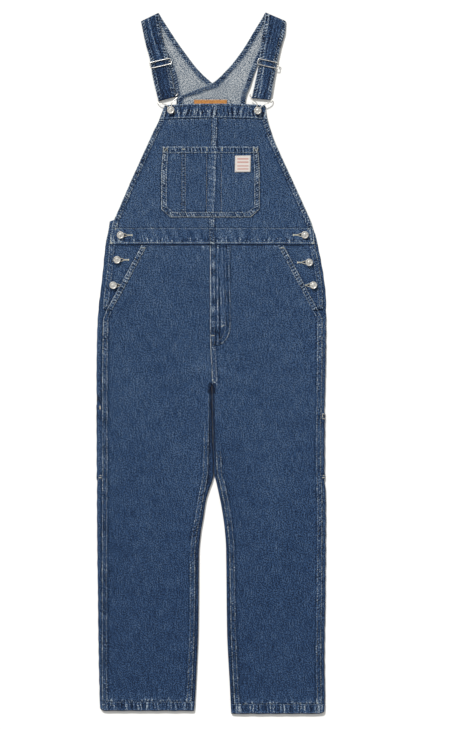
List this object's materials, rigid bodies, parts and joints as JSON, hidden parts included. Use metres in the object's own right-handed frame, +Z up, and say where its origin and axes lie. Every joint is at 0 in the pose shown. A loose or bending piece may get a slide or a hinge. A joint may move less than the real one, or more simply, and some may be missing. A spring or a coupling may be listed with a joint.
{
  "type": "denim dungarees",
  "caption": "Denim dungarees laid flat, front up: bib with patch pocket, crossed back straps on wire buckles, buttoned side openings, slant pockets, mock fly and straight legs.",
  "frame": {"origin": "middle of the laid garment's outline, on the surface that it lies on", "axes": "+X towards the wearer's left, +Y from the hems to the shoulders, +Z up out of the garment's front"},
  "size_m": [0.5364, 1.6403, 0.0131],
  "materials": {
    "denim": "washed mid-blue cotton twill, matt, paler along seams and edges",
    "denim_inside": "pale grey-blue wrong side of the twill, matt",
    "tan_patch": "matt tan",
    "woven_label": "white satin weave with plain red bars",
    "nickel": "dull nickel plate"
  },
  "bodies": {
    "root": {"leg_front_right": "denim", "leg_front_left": "denim", "leg_back_right": "denim", "leg_back_left": "denim", "leg_hem_right": "denim", "leg_hem_left": "denim", "fly": "denim", "pocket_bearer_right": "denim", "pocket_bearer_left": "denim", "pocket_edge_right": "denim", "pocket_edge_left": "denim", "waistband_front_right": "denim", "waistband_front_left": "denim", "waistband_back": "denim", "bib_right": "denim", "bib_left": "denim", "bib_edge_right": "denim", "bib_edge_left": "denim", "bib_band": "denim", "bib_pocket": "denim", "bib_pocket_hem": "denim", "strap_right": "denim", "strap_left": "denim", "tool_pocket_edge": "denim", "hammer_loop": "denim", "neck_patch": "denim", "upper_back": "denim_inside", "back_wing_right": "denim_inside", "back_wing_left": "denim_inside", "neck_label": "tan_patch", "front_label": "woven_label", "slider_right": "nickel", "slider_left": "nickel", "buckle_right": "nickel", "buckle_left": "nickel", "bib_button_right": "nickel", "bib_button_left": "nickel", "waist_button_right": "nickel", "waist_button_left": "nickel", "side_button_upper_right": "nickel", "side_button_upper_left": "nickel", "side_button_lower_right": "nickel", "side_button_lower_left": "nickel"}
  },
  "joints": []
}
